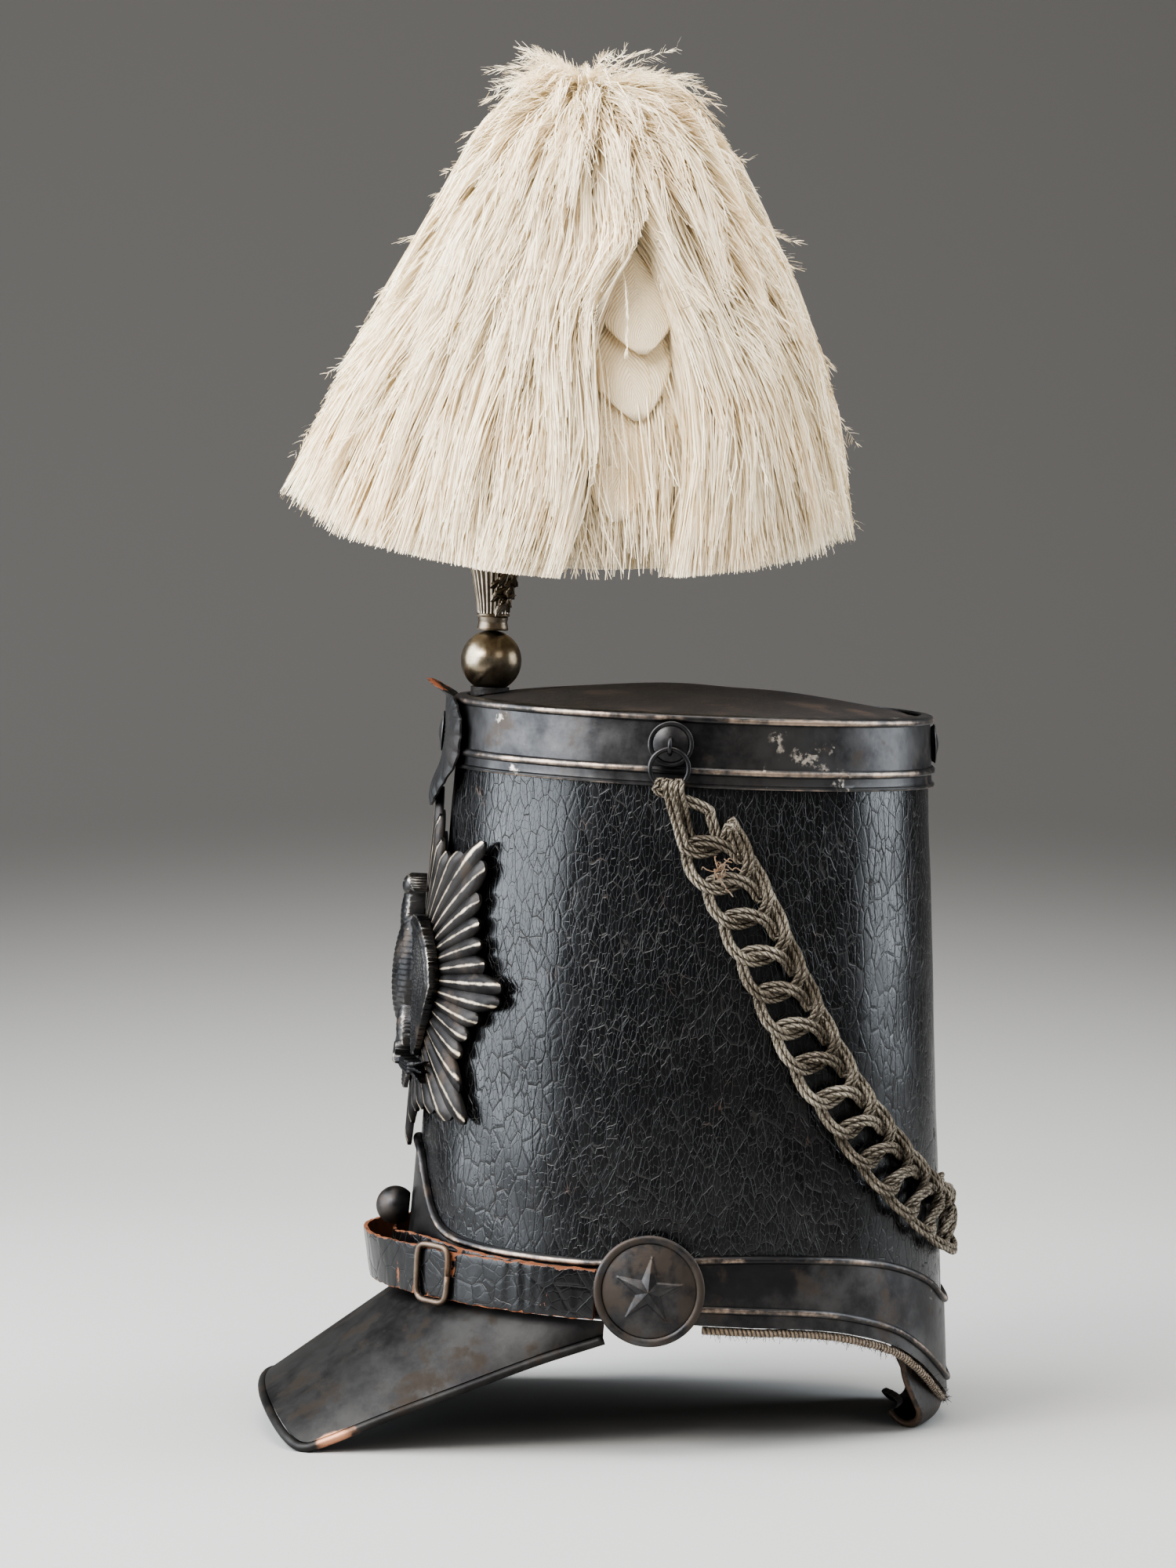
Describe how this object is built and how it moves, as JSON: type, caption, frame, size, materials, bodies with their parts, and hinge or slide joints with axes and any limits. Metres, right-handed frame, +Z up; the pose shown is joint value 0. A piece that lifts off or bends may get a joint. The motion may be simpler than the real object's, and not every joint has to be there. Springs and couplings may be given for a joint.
{
  "type": "shako",
  "caption": "Military shako: tall lacquered leather crown with metal bands, visor, rayed eagle plate, cord chain round the back and a drooping feather plume.",
  "frame": {"origin": "middle of the base on the surface that the hat stands on", "axes": "+Z up, -Y to the front where the visor is, +X to the wearer's left"},
  "size_m": [0.1864, 0.2632, 0.5073],
  "materials": {
    "lacquered_leather": "black lacquer, crackled and glossy",
    "worn_leather": "worn matt dark brown",
    "tarnished_silver": "tarnished silver plate, worn on its edges",
    "visor_metal": "mottled brown and grey tarnish",
    "old_silver": "polished old silver plate",
    "metal_cord": "twisted metallic thread cord",
    "cloth_piping": "frayed brown cloth",
    "feathers": "cream white plumage"
  },
  "bodies": {
    "root": {"crown_body": "lacquered_leather", "crown_top": "worn_leather", "top_band": "tarnished_silver", "base_band": "tarnished_silver", "visor": "visor_metal", "visor_rim": "tarnished_silver", "edge_piping": "cloth_piping", "neck_flap": "worn_leather", "strap_outer": "lacquered_leather", "strap_inner": "lacquered_leather", "buckle": "old_silver", "rosette_left": "tarnished_silver", "side_boss_left": "tarnished_silver", "ring_left": "tarnished_silver", "rosette_right": "tarnished_silver", "side_boss_right": "tarnished_silver", "ring_right": "tarnished_silver", "rear_boss": "tarnished_silver", "ball_button": "tarnished_silver", "sunburst_plate": "tarnished_silver", "eagle": "tarnished_silver", "cockade": "worn_leather", "cockade_boss": "tarnished_silver", "cap_chain": "metal_cord", "plume_seat": "worn_leather", "plume_ball": "old_silver", "plume_socket": "old_silver", "plume": "feathers"}
  },
  "joints": []
}
